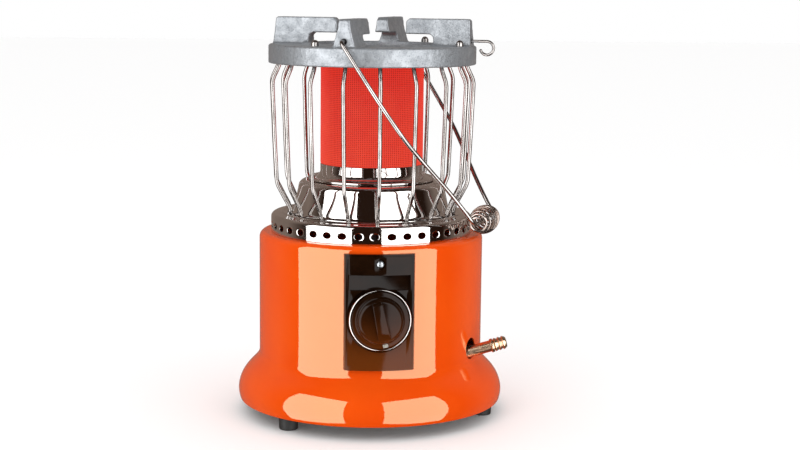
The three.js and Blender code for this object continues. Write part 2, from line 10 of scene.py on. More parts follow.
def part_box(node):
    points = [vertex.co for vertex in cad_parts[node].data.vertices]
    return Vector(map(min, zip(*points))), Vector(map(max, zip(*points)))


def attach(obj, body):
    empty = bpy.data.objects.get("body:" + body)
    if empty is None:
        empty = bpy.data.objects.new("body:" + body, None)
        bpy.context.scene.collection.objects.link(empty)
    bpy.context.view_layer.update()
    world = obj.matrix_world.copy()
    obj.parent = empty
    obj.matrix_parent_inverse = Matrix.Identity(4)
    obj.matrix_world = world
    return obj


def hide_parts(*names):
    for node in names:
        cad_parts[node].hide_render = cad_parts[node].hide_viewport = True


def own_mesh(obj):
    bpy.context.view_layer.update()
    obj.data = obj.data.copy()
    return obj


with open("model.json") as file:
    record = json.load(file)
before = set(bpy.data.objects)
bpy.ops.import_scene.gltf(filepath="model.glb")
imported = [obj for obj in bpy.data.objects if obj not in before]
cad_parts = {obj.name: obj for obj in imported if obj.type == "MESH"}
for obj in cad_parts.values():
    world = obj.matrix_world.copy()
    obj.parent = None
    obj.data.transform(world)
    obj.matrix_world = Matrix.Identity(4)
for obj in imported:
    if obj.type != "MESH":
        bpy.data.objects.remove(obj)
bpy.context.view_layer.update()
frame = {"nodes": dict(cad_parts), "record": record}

mm = 0.001
print("frame loaded:", len(frame["nodes"]), "nodes")


# Levels and radii of the frame, in millimetres, that the pieces are fitted to
def topOf(node):
    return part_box(node)[1].z / mm


def bottomOf(node):
    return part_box(node)[0].z / mm


casingTop = topOf("outer_casing")
ventTop = topOf("vent_ring") - 1.6      # under the bead
drumTop = topOf("reflector_drum")
ringLow = bottomOf("pan_support")
armTop = topOf("pan_support")
ringTop = armTop - 26
earHeight = ringTop + 5                 # of the holes in the arms, where the bail and the hook turn
panelLow, panelHigh = bottomOf("control_panel"), topOf("control_panel")
knobZ = (topOf("valve_stem") + bottomOf("valve_stem")) / 2
screwZ = 166.0                          # of the panel's screw
emitterR = 50.8                         # of the mesh, and of the collar it stands on
bailReach = 208.0                       # from the bail's pivot to its grip
armTurn = math.radians(-20)             # of the front arm, and of the bail's pivot
bailHang = math.radians(-33.6)          # from straight down, where the grip rests beside the vent ring


# Nodes and colours
def linearColour(hexCode):
    channels = [int(hexCode[i:i + 2], 16) / 255 for i in (1, 3, 5)]
    linear = [c / 12.92 if c <= 0.04045 else ((c + 0.055) / 1.055) ** 2.4 for c in channels]
    return (*linear, 1.0)


def addNode(tree, kind, settings=None, inputs=None):
    node = tree.nodes.new(kind)
    for name, value in (settings or {}).items():
        setattr(node, name, value)
    for key, value in (inputs or {}).items():
        if isinstance(value, bpy.types.NodeSocket):
            tree.links.new(value, node.inputs[key])
        else:
            node.inputs[key].default_value = value
    return node


def startMaterial(name, sockets):
    material = bpy.data.materials.new(name)
    material.use_nodes = True
    tree = material.node_tree
    shader = tree.nodes["Principled BSDF"]
    for socket, value in sockets.items():
        shader.inputs[socket].default_value = value
    place = addNode(tree, "ShaderNodeTexCoord").outputs["Object"]
    return material, tree, shader, place


# Two tones in soft patches, a roughness that drifts with them, and a fine relief
def mottle(tree, shader, place, look):
    patches = addNode(tree, "ShaderNodeTexNoise", {}, {
        "Vector": place, "Scale": 1 / (look["patchMm"] * mm), "Detail": look.get("detail", 3.0)})
    spread = addNode(tree, "ShaderNodeMapRange", {}, {
        "Value": patches.outputs[0], "From Min": 0.35, "From Max": 0.65})
    tone = addNode(tree, "ShaderNodeMix", {"data_type": "RGBA"}, {
        0: spread.outputs[0], 6: linearColour(look["colour"]), 7: linearColour(look["shade"])})
    gloss = addNode(tree, "ShaderNodeMapRange", {}, {
        "Value": patches.outputs[0], "From Min": 0.3, "From Max": 0.7,
        "To Min": look["rough"][0], "To Max": look["rough"][1]})
    grain = addNode(tree, "ShaderNodeTexNoise", {}, {
        "Vector": place, "Scale": 1 / (look["grainMm"] * mm), "Detail": 2.0})
    relief = addNode(tree, "ShaderNodeBump", {}, {
        "Height": grain.outputs[0], "Strength": look["relief"], "Distance": look["reliefMm"] * mm})
    tree.links.new(tone.outputs[2], shader.inputs["Base Color"])
    tree.links.new(gloss.outputs[0], shader.inputs["Roughness"])
    tree.links.new(relief.outputs[0], shader.inputs["Normal"])
    return tone, grain


def mottled(name, sockets, look):
    material, tree, shader, place = startMaterial(name, sockets)
    mottle(tree, shader, place, look)
    return material


def stoveEnamel():
    # Gloss stove enamel on pressed steel: a deep colour, highlights that stay warm, a trace of orange peel
    return mottled("stoveEnamelGloss", {"IOR": 1.95, "Specular Tint": (1.0, 1.0, 0.6, 1.0)}, {
        "colour": "#f0530d", "shade": "#ec4c0a", "patchMm": 70, "rough": (0.035, 0.05),
        "grainMm": 3.5, "relief": 0.05, "reliefMm": 0.12})


def phenolicPlastic():
    # Moulded brown phenolic, polished in the mould: near black at the top, and browner low down,
    # where a painted warm reflection is blended in by height
    look = {"low": 64.0, "high": 135.0, "reflectedBrown": "#602e0c"}
    material, tree, shader, place = startMaterial("phenolicBrownMoulded", {
        "IOR": 1.5, "Specular IOR Level": 0.14})
    tone, _ = mottle(tree, shader, place, {
        "colour": "#160a04", "shade": "#1e0f06", "patchMm": 12, "rough": (0.07, 0.12),
        "grainMm": 0.8, "relief": 0.06, "reliefMm": 0.05})
    # Painted reflection: the lower part is blended towards a warm brown by height, over the plastic's own
    # near-black mottle
    split = addNode(tree, "ShaderNodeSeparateXYZ", {}, {0: place})
    height = addNode(tree, "ShaderNodeMapRange", {"interpolation_type": "SMOOTHSTEP"}, {
        "Value": split.outputs["Z"], "From Min": look["low"] * mm, "From Max": look["high"] * mm,
        "To Min": 1.0, "To Max": 0.0})
    paintedReflectionMix = addNode(tree, "ShaderNodeMix", {"data_type": "RGBA"}, {
        0: height.outputs[0], 6: tone.outputs[2], 7: linearColour(look["reflectedBrown"])})
    tree.links.new(paintedReflectionMix.outputs[2], shader.inputs["Base Color"])
    return material


def indexPaint():
    # Pad-printed enamel of the knob's index mark: pale grey, slightly worn
    return mottled("padPrintPaleGrey", {"IOR": 1.5}, {
        "colour": "#b9b8ae", "shade": "#8d8b80", "patchMm": 1.5, "rough": (0.4, 0.55),
        "grainMm": 0.5, "relief": 0.1, "reliefMm": 0.03})


def chromePlate():
    # Bright chrome plate on pressed steel: a mirror with a few faint polishing clouds
    return mottled("chromePlatePolished", {"Metallic": 1.0}, {
        "colour": "#dfdcd9", "shade": "#d2cecb", "patchMm": 25, "rough": (0.03, 0.07),
        "grainMm": 9, "relief": 0.05, "reliefMm": 0.15})


def castAluminium():
    # Sand-cast aluminium, tumbled: grey mottle, darker in the pits, with satin high spots
    look = {"pitMm": 2.6, "streakMm": 9.0, "dark": "#4c5156", "light": "#a9adb1"}
    material, tree, shader, place = startMaterial("aluminiumSandCast", {"Metallic": 0.6})
    tone, grain = mottle(tree, shader, place, {
        "colour": "#94989d", "shade": "#6b7076", "patchMm": look["streakMm"], "rough": (0.34, 0.55),
        "grainMm": 1.3, "relief": 0.5, "reliefMm": 0.25, "detail": 6.0})
    pits = addNode(tree, "ShaderNodeTexVoronoi", {"feature": "F1"}, {
        "Vector": place, "Scale": 1 / (look["pitMm"] * mm), "Randomness": 1.0})
    depth = addNode(tree, "ShaderNodeMapRange", {}, {
        "Value": pits.outputs["Distance"], "From Min": 0.05, "From Max": 0.4})
    pitted = addNode(tree, "ShaderNodeMix", {"data_type": "RGBA"}, {
        0: depth.outputs[0], 6: linearColour(look["dark"]), 7: tone.outputs[2]})
    dusted = addNode(tree, "ShaderNodeMix", {"data_type": "RGBA"}, {
        0: grain.outputs[0], 6: pitted.outputs[2], 7: linearColour(look["light"])})
    tree.links.new(dusted.outputs[2], shader.inputs["Base Color"])
    return material


def drawnWire():
    # Nickel-plated drawn steel wire: bright, with soft dull patches
    return mottled("steelWireNickelPlated", {"Metallic": 1.0}, {
        "colour": "#b2aeac", "shade": "#8d8885", "patchMm": 22, "rough": (0.16, 0.28),
        "grainMm": 2.5, "relief": 0.02, "reliefMm": 0.05})


def springWire():
    # Plated spring wire that heat and hands have dulled: greyer and a little brown in patches
    return mottled("springWireDulled", {"Metallic": 1.0}, {
        "colour": "#b3a9a3", "shade": "#7a675c", "patchMm": 9, "rough": (0.18, 0.32),
        "grainMm": 1.4, "relief": 0.06, "reliefMm": 0.05})


def zincPlate():
    # Bright zinc on sheet steel: pale grey with a soft spangle
    return mottled("steelZincPlated", {"Metallic": 1.0}, {
        "colour": "#b4b8bb", "shade": "#989da1", "patchMm": 6, "rough": (0.28, 0.45),
        "grainMm": 1.5, "relief": 0.1, "reliefMm": 0.08})


def yellowZinc():
    # Yellow-passivated zinc on turned steel: straw with pinkish patches and fine tool marks
    return mottled("steelYellowPassivated", {"Metallic": 1.0}, {
        "colour": "#e0c6a6", "shade": "#c39f84", "patchMm": 5, "rough": (0.2, 0.38),
        "grainMm": 0.7, "relief": 0.15, "reliefMm": 0.06})


def heatSteel():
    # Stainless steel tinted by heat: straw and brown clouds over dull grey
    return mottled("stainlessHeatTinted", {"Metallic": 1.0}, {
        "colour": "#8f8882", "shade": "#6e5a4a", "patchMm": 18, "rough": (0.3, 0.5),
        "grainMm": 1.2, "relief": 0.15, "reliefMm": 0.1})


def drawnBrass():
    # Machined brass: warm yellow, darker where it has been handled
    return mottled("brassMachined", {"Metallic": 1.0}, {
        "colour": "#c9a45c", "shade": "#a8823f", "patchMm": 8, "rough": (0.22, 0.38),
        "grainMm": 0.8, "relief": 0.1, "reliefMm": 0.05})


def mouldedRubber():
    # Moulded black rubber: dull, a little dusty, with a fine skin texture
    return mottled("rubberMoulded", {"IOR": 1.52}, {
        "colour": "#151312", "shade": "#24211e", "patchMm": 6, "rough": (0.55, 0.75),
        "grainMm": 0.6, "relief": 0.3, "reliefMm": 0.1})


def glazedPorcelain():
    # Glazed electrode porcelain: warm white with a soft sheen
    return mottled("porcelainGlazed", {"IOR": 1.5}, {
        "colour": "#e9e5da", "shade": "#dcd5c6", "patchMm": 9, "rough": (0.15, 0.28),
        "grainMm": 1.0, "relief": 0.05, "reliefMm": 0.05})


# Heat-proof wire that glows: deeper red near the top, orange red lower down, in uneven patches
def glowingWire(name, deepHex, brightHex, strength):
    look = {"patchMm": 14.0, "patchiness": 0.8, "low": 235.0, "high": 352.0, "unlit": "#2c0604"}
    material, tree, shader, place = startMaterial(name, {
        "Base Color": linearColour(look["unlit"]), "Roughness": 0.7, "Emission Strength": strength})
    split = addNode(tree, "ShaderNodeSeparateXYZ", {}, {0: place})
    height = addNode(tree, "ShaderNodeMapRange", {}, {
        "Value": split.outputs["Z"], "From Min": look["low"] * mm, "From Max": look["high"] * mm,
        "To Min": 0.1, "To Max": 0.75})
    patches = addNode(tree, "ShaderNodeTexNoise", {}, {
        "Vector": place, "Scale": 1 / (look["patchMm"] * mm), "Detail": 4.0})
    uneven = addNode(tree, "ShaderNodeMath", {"operation": "MULTIPLY_ADD"}, {
        0: patches.outputs[0], 1: look["patchiness"], 2: -look["patchiness"] / 2})
    mixing = addNode(tree, "ShaderNodeMath", {"operation": "ADD", "use_clamp": True}, {
        0: height.outputs[0], 1: uneven.outputs[0]})
    tone = addNode(tree, "ShaderNodeMix", {"data_type": "RGBA"}, {
        0: mixing.outputs[0], 6: linearColour(brightHex), 7: linearColour(deepHex)})
    tree.links.new(tone.outputs[2], shader.inputs["Emission Color"])
    return material


finishes = {
    "orange_enamel": stoveEnamel(),
    "black_plastic": phenolicPlastic(),
    "chrome_plate": chromePlate(),
    "bright_wire": drawnWire(),
    "spring_wire": springWire(),
    "cast_aluminium": castAluminium(),
    "glowing_mesh": glowingWire("heatWireGlowing", "#dc2019", "#ee4024", 0.95),
    "zinc_steel": zincPlate(),
    "heat_steel": heatSteel(),
    "brass": drawnBrass(),
    "yellow_zinc": yellowZinc(),
    "black_rubber": mouldedRubber(),
    "white_ceramic": glazedPorcelain(),
}
paintedMark = indexPaint()
glowBehind = glowingWire("heatWireGlowingInner", "#b01a14", "#cf3018", 0.8)
print("materials made:", len(finishes) + 2)


# Outlines and meshes, in millimetres
def arcPoints(r, z, radius, start, end, steps):
    turns = np.radians(np.linspace(start, end, steps + 1))
    return [(r + radius * math.cos(a), z + radius * math.sin(a)) for a in turns]


def bezierPoints(a, b, c, d, steps):
    t = np.linspace(0, 1, steps + 1)[:, None]
    a, b, c, d = (np.array(p, float) for p in (a, b, c, d))
    points = a * (1 - t) ** 3 + 3 * b * t * (1 - t) ** 2 + 3 * c * t ** 2 * (1 - t) + d * t ** 3
    return [tuple(p) for p in points]


# Corners of a line of points rounded by short curves; a closed one rounds its first point too
def rounded(points, radius, steps=4, closed=True):
    points = [np.array(p, float) for p in points]
    count = len(points)
    result = []
    for i, corner in enumerate(points):
        if not closed and i in (0, count - 1):
            result.append(tuple(corner))
            continue
        sides = [points[i - 1] - corner, points[(i + 1) % count] - corner]
        ends = [corner + s * min(radius / max(np.linalg.norm(s), 1e-9), 0.48) for s in sides]
        for t in np.linspace(0, 1, steps + 1):
            result.append(tuple(ends[0] * (1 - t) ** 2 + 2 * corner * t * (1 - t) + ends[1] * t ** 2))
    return result


# A sheet's closed outline: the line, and the same line moved sideways by the wall
def sheetOutline(line, wall):
    points = np.array(line, float)
    along = np.gradient(points, axis=0)
    along /= np.linalg.norm(along, axis=1)[:, None]
    inner = points + wall * np.stack([-along[:, 1], along[:, 0]], axis=1)
    return [tuple(p) for p in points] + [tuple(p) for p in inner[::-1]]


# An outline of (radius, height) turned about Z; it starts and ends on the axis or closes on itself
def turned(outline, facets):
    vertices, faces, rows = [], [], []
    for radius, height in outline:
        if radius < 1e-6:
            rows.append([len(vertices)] * facets)
            vertices.append((0.0, 0.0, height))
            continue
        rows.append(list(range(len(vertices), len(vertices) + facets)))
        for i in range(facets):
            a = 2 * math.pi * i / facets
            vertices.append((radius * math.sin(a), -radius * math.cos(a), height))
    onAxis = outline[0][0] < 1e-6 and outline[-1][0] < 1e-6
    pairs = list(zip(rows, rows[1:])) + ([] if onAxis else [(rows[-1], rows[0])])
    for low, high in pairs:
        for i in range(facets):
            j = (i + 1) % facets
            face = list(dict.fromkeys((low[i], low[j], high[j], high[i])))
            if len(face) > 2:
                faces.append(face)
    return vertices, faces


def cylinder(radius, low, high, facets):
    return turned([(0, low), (radius, low), (radius, high), (0, high)], facets)


# A round wire along a line of points, with domed ends
def swept(path, radius, sides=12):
    points = [Vector(p) for p in path]
    tangents = []
    for i in range(len(points)):
        before = points[i] - points[max(i - 1, 0)]
        after = points[min(i + 1, len(points) - 1)] - points[i]
        tangents.append((before.normalized() + after.normalized()).normalized())
    side = tangents[0].orthogonal().normalized()
    rings = []
    for point, tangent in zip(points, tangents):
        side = (side - tangent * side.dot(tangent)).normalized()
        rings.append((point, tangent, side, radius))
    dome = [(math.sin(a) * radius, math.cos(a) * radius) for a in (math.pi / 6, math.pi / 3)]
    first, last = rings[0], rings[-1]
    opening = [(first[0] - first[1] * out, first[1], first[2], r) for out, r in reversed(dome)]
    closing = [(last[0] + last[1] * out, last[1], last[2], r) for out, r in dome]
    vertices, faces = [], []
    for point, tangent, normal, r in opening + rings + closing:
        across = tangent.cross(normal)
        for k in range(sides):
            a = 2 * math.pi * k / sides
            vertices.append(point + normal * (r * math.cos(a)) + across * (r * math.sin(a)))
    total = len(vertices) // sides
    for row in range(total - 1):
        for k in range(sides):
            n = (k + 1) % sides
            faces.append((row * sides + k, row * sides + n, (row + 1) * sides + n, (row + 1) * sides + k))
    faces.append(tuple(range(sides)))
    faces.append(tuple(range((total - 1) * sides, total * sides)))
    return [tuple(v) for v in vertices], faces


# A flat outline of (x, z) pushed along Y; the far end may be drawn in by a share of its size
def extruded(outline, y0, y1, taper=1.0):
    count = len(outline)
    centre = np.mean(outline, axis=0)
    far = [tuple(centre + (np.array(p) - centre) * taper) for p in outline]
    vertices = [(x, y0, z) for x, z in outline] + [(x, y1, z) for x, z in far]
    faces = [tuple(range(count)), tuple(range(2 * count - 1, count - 1, -1))]
    faces += [(i, (i + 1) % count, (i + 1) % count + count, i + count) for i in range(count)]
    return vertices, faces


def joined(*meshes):
    vertices, faces = [], []
    for more, moreFaces in meshes:
        offset = len(vertices)
        vertices += list(more)
        faces += [tuple(i + offset for i in face) for face in moreFaces]
    return vertices, faces


def placed(mesh, matrix):
    vertices, faces = mesh
    return [tuple(matrix @ Vector(v)) for v in vertices], faces


def block(x0, x1, y0, y1, z0, z1):
    return extruded([(x0, z0), (x1, z0), (x1, z1), (x0, z1)], y0, y1)


def makeObject(name, mesh):
    vertices, faces = mesh
    data = bpy.data.meshes.new(name)
    data.from_pydata([tuple(c * mm for c in v) for v in vertices], [], faces)
    data.validate()
    piece = bpy.data.objects.new(name, data)
    bpy.context.scene.collection.objects.link(piece)
    tidyMesh(piece)
    return piece


def tidyMesh(piece, weld=1e-6):
    shape = bmesh.new()
    shape.from_mesh(piece.data)
    bmesh.ops.remove_doubles(shape, verts=shape.verts, dist=weld)
    bmesh.ops.recalc_face_normals(shape, faces=shape.faces)
    shape.to_mesh(piece.data)
    shape.free()


# The evaluated mesh takes the place of the piece's own, and its modifiers go
def settle(piece):
    graph = bpy.context.evaluated_depsgraph_get()
    data = bpy.data.meshes.new_from_object(piece.evaluated_get(graph))
    piece.modifiers.clear()
    piece.data = data


def combine(piece, operation, tools):
    for tool in tools:
        cutter = makeObject(piece.name + "Tool", tool)
        change = piece.modifiers.new("combine", "BOOLEAN")
        change.operation = operation
        change.solver = "EXACT"
        change.object = cutter
        settle(piece)
        bpy.data.objects.remove(cutter)


def takeMesh(piece):
    vertices = [tuple(v.co / mm) for v in piece.data.vertices]
    faces = [tuple(p.vertices) for p in piece.data.polygons]
    bpy.data.objects.remove(piece)
    return vertices, faces


def bevelEdges(piece, width, segments=3, angle=35):
    change = piece.modifiers.new("bevel", "BEVEL")
    change.width = width * mm
    change.segments = segments
    change.limit_method = "ANGLE"
    change.angle_limit = math.radians(angle)
    settle(piece)


def finishPiece(piece, slot, body, nodes, sharp=32, material=None):
    data = piece.data
    data.polygons.foreach_set("use_smooth", [True] * len(data.polygons))
    data.set_sharp_from_angle(angle=math.radians(sharp))
    data.materials.clear()
    data.materials.append(material or finishes[slot])
    data.update()
    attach(piece, body)
    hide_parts(*nodes)


# Geometry node trees
def startTree(name, sizes):
    tree = bpy.data.node_groups.new(name, "GeometryNodeTree")
    tree.interface.new_socket("Geometry", in_out="INPUT", socket_type="NodeSocketGeometry")
    for label, kind in sizes.items():
        tree.interface.new_socket(label, in_out="INPUT", socket_type="NodeSocket" + kind)
    tree.interface.new_socket("Geometry", in_out="OUTPUT", socket_type="NodeSocketGeometry")
    return tree, addNode(tree, "NodeGroupInput")


def endTree(tree, group, geometry):
    real = addNode(tree, "GeometryNodeRealizeInstances", {}, {0: geometry})
    weld = addNode(tree, "GeometryNodeMergeByDistance", {}, {
        "Geometry": real.outputs[0], "Distance": 1e-6})
    painted = addNode(tree, "GeometryNodeSetMaterial", {}, {
        "Geometry": weld.outputs[0], "Material": group.outputs["Material"]})
    addNode(tree, "NodeGroupOutput", {}, {0: painted.outputs[0]})


def growWith(piece, tree, values):
    change = piece.modifiers.new(tree.name, "NODES")
    change.node_group = tree
    for item in tree.interface.items_tree:
        if item.in_out == "INPUT" and item.name in values:
            change[item.identifier] = values[item.name]
    settle(piece)


# A shape repeated at even turns about the Z axis
def copiesAround(tree, shape, count):
    points = addNode(tree, "GeometryNodePoints", {}, {"Count": count})
    index = addNode(tree, "GeometryNodeInputIndex")
    step = addNode(tree, "ShaderNodeMath", {"operation": "DIVIDE"}, {0: 2 * math.pi, 1: count})
    angle = addNode(tree, "ShaderNodeMath", {"operation": "MULTIPLY"}, {
        0: index.outputs[0], 1: step.outputs[0]})
    turn = addNode(tree, "ShaderNodeCombineXYZ", {}, {"Z": angle.outputs[0]})
    return addNode(tree, "GeometryNodeInstanceOnPoints", {}, {
        "Points": points.outputs[0], "Instance": shape, "Rotation": turn.outputs[0]})


def roundTree():
    tree, group = startTree("repeatAroundAxis", {"Count": "Int", "Material": "Material"})
    copies = copiesAround(tree, group.outputs["Geometry"], group.outputs["Count"])
    endTree(tree, group, copies.outputs[0])
    return tree


# Upright wires and hoops on a cylinder, as a cloth of wire
def clothTree():
    tree, group = startTree("wireCloth", {
        "Radius": "Float", "Low": "Float", "High": "Float", "Uprights": "Int", "Hoops": "Int",
        "Wire": "Float", "Material": "Material"})
    size = group.outputs
    thread = addNode(tree, "GeometryNodeCurvePrimitiveCircle", {}, {
        "Resolution": 4, "Radius": size["Wire"]})
    foot = addNode(tree, "ShaderNodeCombineXYZ", {}, {"X": size["Radius"], "Z": size["Low"]})
    head = addNode(tree, "ShaderNodeCombineXYZ", {}, {"X": size["Radius"], "Z": size["High"]})
    line = addNode(tree, "GeometryNodeCurvePrimitiveLine", {}, {
        "Start": foot.outputs[0], "End": head.outputs[0]})
    upright = addNode(tree, "GeometryNodeCurveToMesh", {}, {
        "Curve": line.outputs[0], "Profile Curve": thread.outputs[0], "Fill Caps": True})
    fence = copiesAround(tree, upright.outputs[0], size["Uprights"])
    ring = addNode(tree, "GeometryNodeCurvePrimitiveCircle", {}, {
        "Resolution": 96, "Radius": size["Radius"]})
    hoop = addNode(tree, "GeometryNodeCurveToMesh", {}, {
        "Curve": ring.outputs[0], "Profile Curve": thread.outputs[0]})
    start = addNode(tree, "ShaderNodeCombineXYZ", {}, {"Z": size["Low"]})
    end = addNode(tree, "ShaderNodeCombineXYZ", {}, {"Z": size["High"]})
    ladder = addNode(tree, "GeometryNodeMeshLine", {"mode": "END_POINTS"}, {
        "Count": size["Hoops"], "Start Location": start.outputs[0], "Offset": end.outputs[0]})
    hoops = addNode(tree, "GeometryNodeInstanceOnPoints", {}, {
        "Points": ladder.outputs[0], "Instance": hoop.outputs[0]})
    both = addNode(tree, "GeometryNodeJoinGeometry")
    tree.links.new(fence.outputs[0], both.inputs[0])
    tree.links.new(hoops.outputs[0], both.inputs[0])
    endTree(tree, group, both.outputs[0])
    return tree


# A barrel-shaped coil along Y about a wire, wound from one end to the other
def coilTree():
    tree, group = startTree("barrelCoil", {
        "Turns": "Float", "Steps": "Int", "End Radius": "Float", "Middle Radius": "Float",
        "Half Length": "Float", "Wire": "Float", "Centre": "Vector", "Turn": "Vector",
        "Material": "Material"})
    size = group.outputs
    line = addNode(tree, "GeometryNodeMeshLine", {}, {"Count": size["Steps"]})
    index = addNode(tree, "GeometryNodeInputIndex")
    last = addNode(tree, "ShaderNodeMath", {"operation": "SUBTRACT"}, {0: size["Steps"], 1: 1.0})
    along = addNode(tree, "ShaderNodeMath", {"operation": "DIVIDE"}, {
        0: index.outputs[0], 1: last.outputs[0]})
    share = addNode(tree, "ShaderNodeMath", {"operation": "MULTIPLY_ADD"}, {
        0: along.outputs[0], 1: 2.0, 2: -1.0})
    quarter = addNode(tree, "ShaderNodeMath", {"operation": "MULTIPLY"}, {
        0: share.outputs[0], 1: math.pi / 2})
    swell = addNode(tree, "ShaderNodeMath", {"operation": "COSINE"}, {0: quarter.outputs[0]})
    extra = addNode(tree, "ShaderNodeMath", {"operation": "SUBTRACT"}, {
        0: size["Middle Radius"], 1: size["End Radius"]})
    radius = addNode(tree, "ShaderNodeMath", {"operation": "MULTIPLY_ADD"}, {
        0: swell.outputs[0], 1: extra.outputs[0], 2: size["End Radius"]})
    whole = addNode(tree, "ShaderNodeMath", {"operation": "MULTIPLY"}, {0: size["Turns"], 1: 2 * math.pi})
    angle = addNode(tree, "ShaderNodeMath", {"operation": "MULTIPLY"}, {
        0: along.outputs[0], 1: whole.outputs[0]})
    cosine = addNode(tree, "ShaderNodeMath", {"operation": "COSINE"}, {0: angle.outputs[0]})
    sine = addNode(tree, "ShaderNodeMath", {"operation": "SINE"}, {0: angle.outputs[0]})
    x = addNode(tree, "ShaderNodeMath", {"operation": "MULTIPLY"}, {
        0: cosine.outputs[0], 1: radius.outputs[0]})
    y = addNode(tree, "ShaderNodeMath", {"operation": "MULTIPLY"}, {
        0: share.outputs[0], 1: size["Half Length"]})
    z = addNode(tree, "ShaderNodeMath", {"operation": "MULTIPLY"}, {
        0: sine.outputs[0], 1: radius.outputs[0]})
    place = addNode(tree, "ShaderNodeCombineXYZ", {}, {
        "X": x.outputs[0], "Y": y.outputs[0], "Z": z.outputs[0]})
    wound = addNode(tree, "GeometryNodeSetPosition", {}, {
        "Geometry": line.outputs[0], "Position": place.outputs[0]})
    curve = addNode(tree, "GeometryNodeMeshToCurve", {}, {0: wound.outputs[0]})
    section = addNode(tree, "GeometryNodeCurvePrimitiveCircle", {}, {
        "Resolution": 10, "Radius": size["Wire"]})
    tube = addNode(tree, "GeometryNodeCurveToMesh", {}, {
        "Curve": curve.outputs[0], "Profile Curve": section.outputs[0], "Fill Caps": True})
    moved = addNode(tree, "GeometryNodeTransform", {}, {
        "Geometry": tube.outputs[0], "Translation": size["Centre"], "Rotation": size["Turn"]})
    endTree(tree, group, moved.outputs[0])
    return tree


repeatAround = roundTree()


# Casing, base pan and feet
def casing():
    size = {"radius": 111.0, "skirt": 132.0, "bottom": bottomOf("outer_casing"), "flareTop": 62.0,
            "shoulder": 6.0, "lip": 93.0, "wall": 1.2, "facets": 256, "hole": 10.5, "holeZ": 72.6,
            "holeTurn": 58.0, "openingHalf": 31.0}
    low, skirt, r, top = size["bottom"], size["skirt"], size["radius"], casingTop
    flare, shoulder = size["flareTop"], size["shoulder"]
    line = bezierPoints((skirt - 1.5, low), (skirt - 0.5, low + 3), (skirt, 20), (skirt, 24), 6)
    line += bezierPoints((skirt, 24), (skirt - 2, 46), (r, 50), (r, flare), 24)[1:]
    line += [(r, z) for z in np.linspace(flare, top - shoulder, 5)][1:-1]
    line += arcPoints(r - shoulder, top - shoulder, shoulder, 0, 90, 10) + [(size["lip"], top)]
    piece = makeObject("casingShell", turned(sheetOutline(line, size["wall"]), size["facets"]))
    turn = Matrix.Rotation(math.radians(size["holeTurn"]), 4, "Z")
    hole = placed(extruded(arcPoints(0, size["holeZ"], size["hole"], 0, 345, 23), -130, -90), turn)
    wide = size["openingHalf"]
    opening = block(-wide, wide, -130, -90, panelLow + 4, panelHigh - 4)
    combine(piece, "DIFFERENCE", [hole, opening])
    finishPiece(piece, "orange_enamel", "root", ["outer_casing"], sharp=40)


def basePan():
    size = {"radius": 128.6, "rim": 5.0, "wall": 1.2, "ring": 62.0, "hole": 10.0, "holes": 8}
    low = bottomOf("base_pan")
    r, rim, wall = size["radius"], low + size["rim"], size["wall"]
    line = [(0, low), (r - 2, low), (r, low + 2), (r, rim), (r - wall, rim), (r - wall, low + 2.4),
            (r - 2.4, low + wall), (0, low + wall)]
    piece = makeObject("basePan", turned(line, 128))
    drill = cylinder(size["hole"], low - 5, low + 8, 24)
    spots = [2 * math.pi * i / size["holes"] for i in range(size["holes"])]
    shifts = [Matrix.Translation((size["ring"] * math.sin(a), -size["ring"] * math.cos(a), 0)) for a in spots]
    combine(piece, "DIFFERENCE", [placed(drill, shift) for shift in shifts])
    finishPiece(piece, "zinc_steel", "root", ["base_pan"])


def feet():
    size = {"base": 9.0, "top": 9.8, "bore": 5.5, "hole": 2.8, "seat": 6.0, "edge": 1.2}
    for node in ("left_foot", "right_foot", "rear_foot"):
        low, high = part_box(node)
        centre = (low + high) / 2 / mm
        tall = high.z / mm
        outline = rounded([(size["bore"], 0), (size["base"], 0), (size["top"], tall), (size["hole"], tall),
                           (size["hole"], size["seat"]), (size["bore"], size["seat"])], size["edge"])
        shift = Matrix.Translation((centre.x, centre.y, 0))
        piece = makeObject(node.replace("_", "") + "Rubber", placed(turned(outline, 40), shift))
        finishPiece(piece, "black_rubber", "root", [node])


